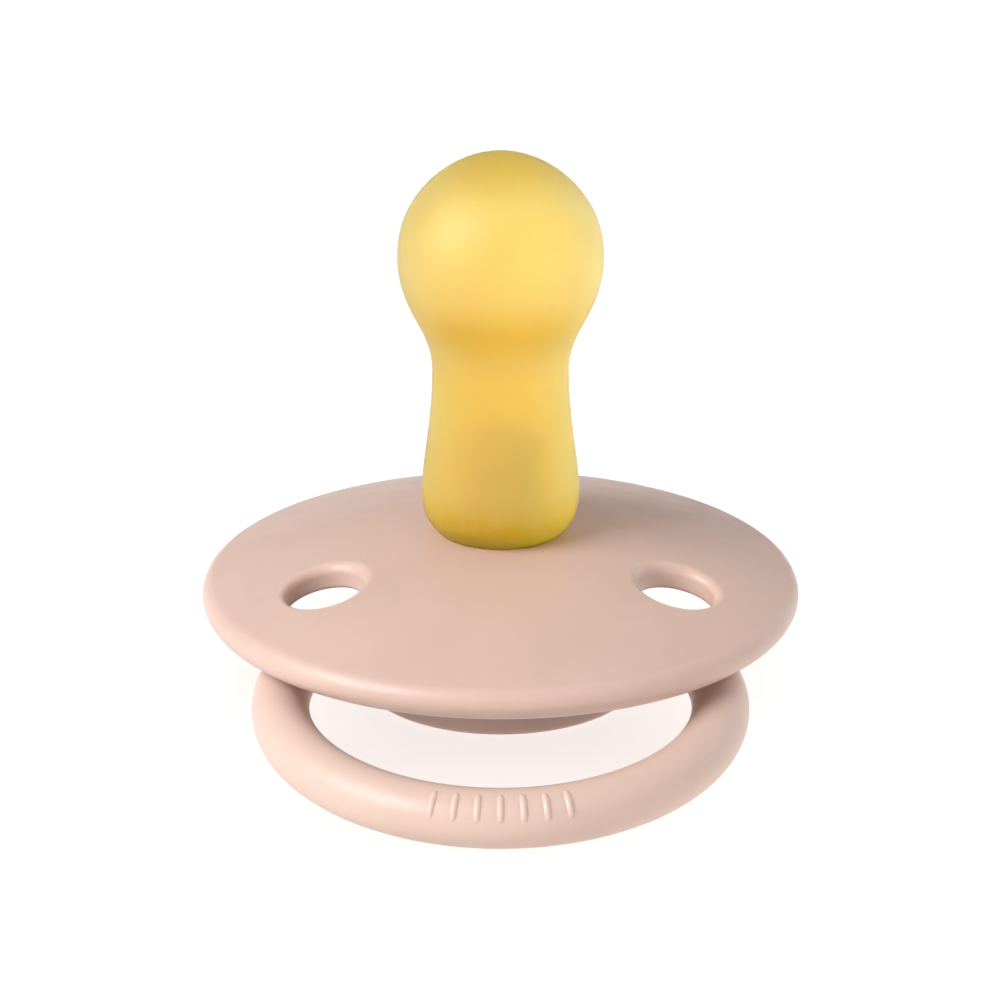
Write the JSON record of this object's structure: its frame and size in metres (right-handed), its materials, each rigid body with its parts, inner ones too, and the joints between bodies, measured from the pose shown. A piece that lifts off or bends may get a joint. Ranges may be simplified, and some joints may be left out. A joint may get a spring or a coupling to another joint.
{
  "type": "baby pacifier",
  "caption": "Pacifier with a round hollow latex nipple, a domed round shield with three round vents, a flat back button and a hinged round ring handle.",
  "frame": {"origin": "centre of the button's flat back, which the pacifier stands on", "axes": "+Z along the nipple's axis towards its tip, -Y towards the side where the ring handle lies at rest, X along the ring's hinge"},
  "size_m": [0.043, 0.0507, 0.0396],
  "materials": {
    "latex": "smooth translucent natural latex",
    "shield_plastic": "satin blush polypropylene",
    "plug_plastic": "satin blush polypropylene",
    "button_plastic": "satin blush polypropylene",
    "ring_plastic": "satin blush polypropylene"
  },
  "bodies": {
    "pacifier_body": {"nipple": "latex", "shield": "shield_plastic", "inner_plug": "plug_plastic", "back_button": "button_plastic"},
    "ring": {"ring_handle": "ring_plastic"}
  },
  "joints": [
    {"name": "ring_hinge", "type": "hinge", "parent": "pacifier_body", "child": "ring", "pos_m": [0, 0, 0.00462], "axis": [1, 0, 0], "range_deg": [-2.5, 171.5]}
  ]
}
